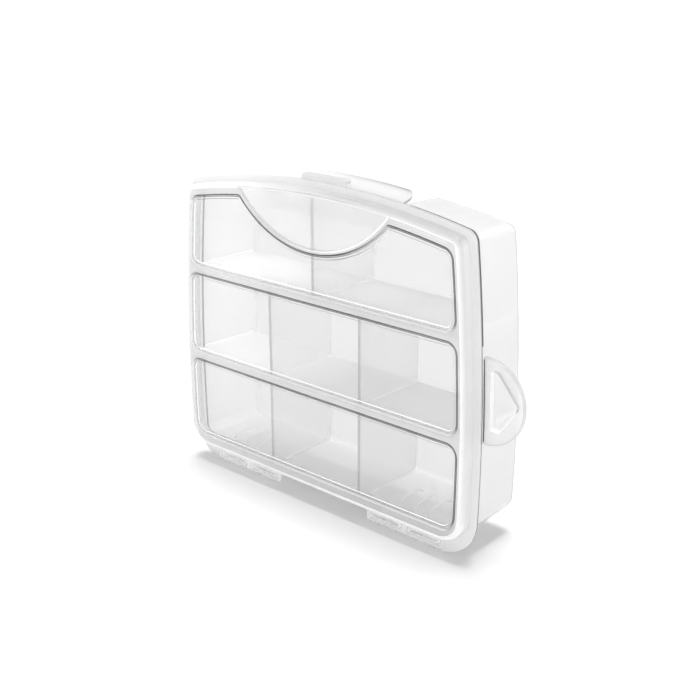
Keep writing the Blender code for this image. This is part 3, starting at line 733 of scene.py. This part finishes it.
def pull_lip():
    """The finger lip, which narrows round its back corners, with the slot for the catch."""
    start = RIM_BACK + GAP
    mesh = bmesh.new()
    top, under = [], []
    for step in range(LIP_STEPS + 1):
        depth = start + (LIP_END - start) * math.sin(math.pi / 2 * step / LIP_STEPS)
        along = (depth - RIM_BACK) / (LIP_END - RIM_BACK)
        past = max(0.0, depth - (LIP_END - LIP_CORNER))
        half = LIP_HALF - LIP_CORNER + math.sqrt(max(0.0, LIP_CORNER ** 2 - past ** 2))
        centre = Vector((0.0, RIM_OUTLINE[1] + LIP_RISE * along ** 1.6 - TOP_ARC))
        spread = math.asin(half / TOP_ARC)
        for rows, radius in ((top, TOP_ARC), (under, TOP_ARC - LIP_THICK)):
            points = arc(centre, radius, math.pi / 2 - spread, math.pi / 2 + spread, LIP_ACROSS)
            rows.append([mesh.verts.new((p.x, depth, p.y)) for p in points])
    for rows, rim in ((top, 1), (under, 0)):
        for near, far in zip(rows, rows[1:]):
            look = rim if far[0].co.y > LIP_END - LIP_RIM else 0
            for i in range(LIP_ACROSS):
                mesh.faces.new((near[i], near[i + 1], far[i + 1], far[i])).material_index = look
    for k in range(LIP_STEPS):
        for i in (0, LIP_ACROSS):
            mesh.faces.new((top[k][i], top[k + 1][i], under[k + 1][i], under[k][i])).material_index = 1
    for k, look in ((0, 0), (LIP_STEPS, 1)):
        for i in range(LIP_ACROSS):
            face = mesh.faces.new((top[k][i], top[k][i + 1], under[k][i + 1], under[k][i]))
            face.material_index = look
    made = drawn("lip", mesh, lip_look, lip_line)
    cut(made, drawn("catch_slot", block(SLOT_LOW, SLOT_HIGH), lip_look))
    placed(made, "lid", "frosted_plastic", "pull_lip")


# Tray

def notch_tool(name, grow):
    """The rounded block taken out of the tray behind the pull lip."""
    half = NOTCH_HALF + grow
    mesh = block((-half, NOTCH_FRONT - grow, NOTCH_FLOOR - grow), (half, TRAY_BACK + 0.01, NOTCH_TOP))
    along = [e for e in mesh.edges if abs(e.verts[0].co.y - e.verts[1].co.y) > 1e-6]
    low = [e for e in along if e.verts[0].co.z < 0.19]
    bmesh.ops.bevel(mesh, geom=low, offset=NOTCH_ROUND + grow, segments=8, profile=0.5, affect="EDGES")
    return drawn(name, mesh, tray_look)


def tray_moulding():
    """The tray's thin shell with its flange, rounded back and finger notch."""
    flange = outline(*FLANGE_OUTLINE)
    shell = bmesh.new()
    sections = [(TRAY_FRONT, flange), (FLANGE_BACK, flange)]
    sections.append((FLANGE_BACK + GAP, tray_outline(FLANGE_BACK)))
    for share in (0.25, 0.5, 0.75):
        depth = FLANGE_BACK + share * (TRAY_BACK - TRAY_EDGE - FLANGE_BACK)
        sections.append((depth, tray_outline(depth)))
    for d, inset in reversed(rounding(TRAY_EDGE, 8)):
        sections.append((TRAY_BACK - d, tray_outline(TRAY_BACK, inset)))
    rings(shell, sections)
    cap(shell, TRAY_FRONT, flange)
    cap(shell, TRAY_BACK, tray_outline(TRAY_BACK, TRAY_EDGE))
    inner_front, inner_back = TRAY_FRONT - 0.001, TRAY_BACK - TRAY_WALL
    inner_edge = TRAY_EDGE - TRAY_WALL
    hollow = bmesh.new()
    sections = [(inner_front, tray_outline(TRAY_FRONT, TRAY_WALL))]
    for d, inset in reversed(rounding(inner_edge, 6)):
        sections.append((inner_back - d, tray_outline(TRAY_BACK, TRAY_WALL + inset)))
    rings(hollow, sections)
    cap(hollow, inner_front, tray_outline(TRAY_FRONT, TRAY_WALL))
    cap(hollow, inner_back, tray_outline(TRAY_BACK, TRAY_WALL + inner_edge))
    made = drawn("tray_moulding", shell, tray_look)
    inside = cut(drawn("tray_inside", hollow, tray_look), notch_tool("notch_lining", TRAY_WALL))
    cut(made, notch_tool("notch", 0.0), inside)
    placed(made, "tray", "satin_plastic", "tray_shell")


def tray_mouth():
    """The fine inner edge of the tray's front opening, with painted shade at its left end."""
    mesh = bmesh.new()
    out = tray_outline(TRAY_FRONT, TRAY_WALL - 0.0002)
    inside = tray_outline(TRAY_FRONT, TRAY_WALL + 0.0004)
    near, far = TRAY_FRONT - 0.0001, TRAY_FRONT + 0.0007
    rings(mesh, [(near, out), (near, inside), (far, inside), (far, out), (near, out)])
    placed(drawn("tray_mouth", mesh, mouth_line), "tray", "satin_plastic")


def divider_beads():
    """A fillet where each divider meets its floor and the back wall, and a bead of painted shade up
    its front edge.
    """
    for name, (x, floor, roof) in DIVIDERS.items():
        if floor == BOTTOM_FLOOR:
            corner = Vector((INSIDE_BACK - FLOOR_CORNER, floor + FLOOR_CORNER + 0.0004))
            path = [Vector((BEAD_FRONT, floor + 0.0003))]
            path += arc(corner, FLOOR_CORNER, -math.pi / 2, 0.0, 8)
        else:
            path = [Vector((BEAD_FRONT, floor)), Vector((INSIDE_BACK, floor))]
        path.append(Vector((INSIDE_BACK, roof)))
        loops = beside(x, path, 0.0006, 0.0016)
        bar("fillet_" + name, loops, fillet_glow_look, "tray", "satin_plastic")
        top = TOP_DIVIDER_FRONT if name == "top" else roof
        path = [Vector((INSIDE_FRONT, floor)), Vector((INSIDE_FRONT, top))]
        loops = beside(x, path, 0.0007, 0.0014)
        bar("front_edge_shade_" + name, loops, front_edge_shade_look, "tray", "satin_plastic")


def shelf_welds():
    """The line where each shelf meets a side of the tray, bright with a painted glow."""
    wide, tall = Vector((0.0012, 0.0, 0.0)), Vector((0.0, 0.0, 0.0011))
    for level, shelf in (("upper", UPPER_SHELF), ("lower", LOWER_SHELF)):
        height = shelf + WELD_LIFT
        for side, sign in (("right", 1), ("left", -1)):
            ends = []
            for k in (0, 1):
                x = bowed(TRAY_HALF - TAPER_SIDE * k, height) - WELD_INSET
                ends.append((sign * x, BEAD_FRONT + WELD_LENGTH * k, height))
            name = "shelf_weld_glow_" + level + "_" + side
            bar(name, around(ends, wide, tall), weld_glow_look, "tray", "satin_plastic")


def floor_ribs():
    """Low curved ribs that stiffen the tray's floor above the hinges."""
    hump = arc(Vector((0.0, 0.0)), 1.0, math.pi, 0.12, 14)
    path = [Vector((RIB_MIDDLE + RIB_REACH * p.x, RIB_BASE + RIB_HEIGHT * p.y)) for p in hump]
    for side, places in RIB_PLACES.items():
        for number, x in enumerate(places, 1):
            name = "floor_rib_" + side + "_" + str(number)
            bar(name, beside(x, path, 0.0007, 0.0015), rib_look, "tray", "satin_plastic")


def hanging_ear():
    """The ear with its bevelled hole, and a dark strip of painted shadow in the slit where the lid's rim
    passes it.
    """
    mesh = bmesh.new()
    cap(mesh, EAR_FRONT, ear_outline(-EAR_EDGE), ear_hole(EAR_BEVEL))
    cap(mesh, EAR_BACK, ear_outline(-EAR_EDGE), ear_hole())
    rings(mesh, rounded_sides(EAR_FRONT, EAR_BACK, EAR_EDGE, 4, ear_outline), 2)
    bevel = [(EAR_FRONT, ear_hole(EAR_BEVEL)), (EAR_FRONT + EAR_BEVEL, ear_hole())]
    rings(mesh, bevel + [(EAR_BACK, ear_hole())], 1)
    placed(drawn("ear", mesh, ear_look, ear_line, ear_rim_shade), "tray", "satin_plastic", "hanging_ear")
    heights = [SLIT_LOW + (SLIT_HIGH - SLIT_LOW) * i / 12 for i in range(13)]
    points = [(bowed(SLIT_HALF, z), TRAY_FRONT, z) for z in heights]
    loops = around(points, Vector((0.0004, 0.0, 0.0)), Vector((0.0, 0.0003, 0.0)))
    bar("ear_slit_shadow", loops, slit_shadow_look, "tray", "satin_plastic")


lid_moulding()
lid_beads()
pane("pane_bottom", low_window, "window_bottom")
pane("pane_middle", middle_window, "window_middle")
pane("pane_top", top_window, "window_top")
scoop_face()
tray_moulding()
divider_beads()
hanging_ear()
shelf_welds()
tray_mouth()
floor_ribs()
pull_lip()


# CAD nodes that keep their shape

NODE_LOOKS = {
    "divider": divider_look, "upper_shelf": shelf_look, "lower_shelf": shelf_look,
    "hinge_hook": hook_look, "hinge_loop": loop_look, "catch": catch_look,
}

for obj in list(SCENE.objects):
    node = obj.get("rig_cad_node", "")
    for prefix, look in NODE_LOOKS.items():
        if node.startswith(prefix):
            obj.data.materials.clear()
            obj.data.materials.append(look)
            smoothed(obj)


# Stage

def paper_floor():
    mesh = bmesh.new()
    bmesh.ops.create_grid(mesh, x_segments=2, y_segments=2, size=6.0)
    data = bpy.data.meshes.new("floor")
    mesh.to_mesh(data)
    mesh.free()
    floor = bpy.data.objects.new("floor", data)
    SCENE.collection.objects.link(floor)
    floor.location.z = -0.0002
    paper = bpy.data.materials.new("paper")
    paper.use_nodes = True
    shader = paper.node_tree.nodes["Principled BSDF"].inputs
    shader["Base Color"].default_value = grey(0.85)
    shader["Roughness"].default_value = 0.9
    shader["Specular IOR Level"].default_value = 0.1
    data.materials.append(paper)


def studio():
    """A white surround that dims overhead, and one soft sun."""
    world = bpy.data.worlds.new("studio")
    world.use_nodes = True
    tree = world.node_tree
    background = tree.nodes["Background"].inputs
    sky = mapped(tree, coordinate(tree, "Generated", "Z"), 1.0, 0.45)
    tree.links.new(sky, background["Strength"])
    background["Color"].default_value = grey(1.0)
    SCENE.world = world
    light = bpy.data.lights.new("overhead", "SUN")
    light.angle, light.energy = math.radians(24), 2.5
    sun = bpy.data.objects.new("overhead", light)
    SCENE.collection.objects.link(sun)
    sun.rotation_euler = Vector((-0.04, 0.07, 1.0)).to_track_quat("Z", "Y").to_euler()


def place_camera():
    data = bpy.data.cameras.new("camera")
    data.lens, data.sensor_width = 60.0, 36.0
    camera = bpy.data.objects.new("camera", data)
    SCENE.collection.objects.link(camera)
    camera.location = Vector((0.4230, -0.4349, 0.3082)) + SHIFT
    camera.rotation_euler = (math.radians(70.68), 0.0, math.radians(42.17))
    SCENE.camera = camera


paper_floor()
studio()
place_camera()

SCENE.view_settings.view_transform = "Standard"
SCENE.cycles.transparent_max_bounces = 40
SCENE.cycles.use_denoising = True
SCENE.cycles.denoising_input_passes = "RGB_ALBEDO_NORMAL"
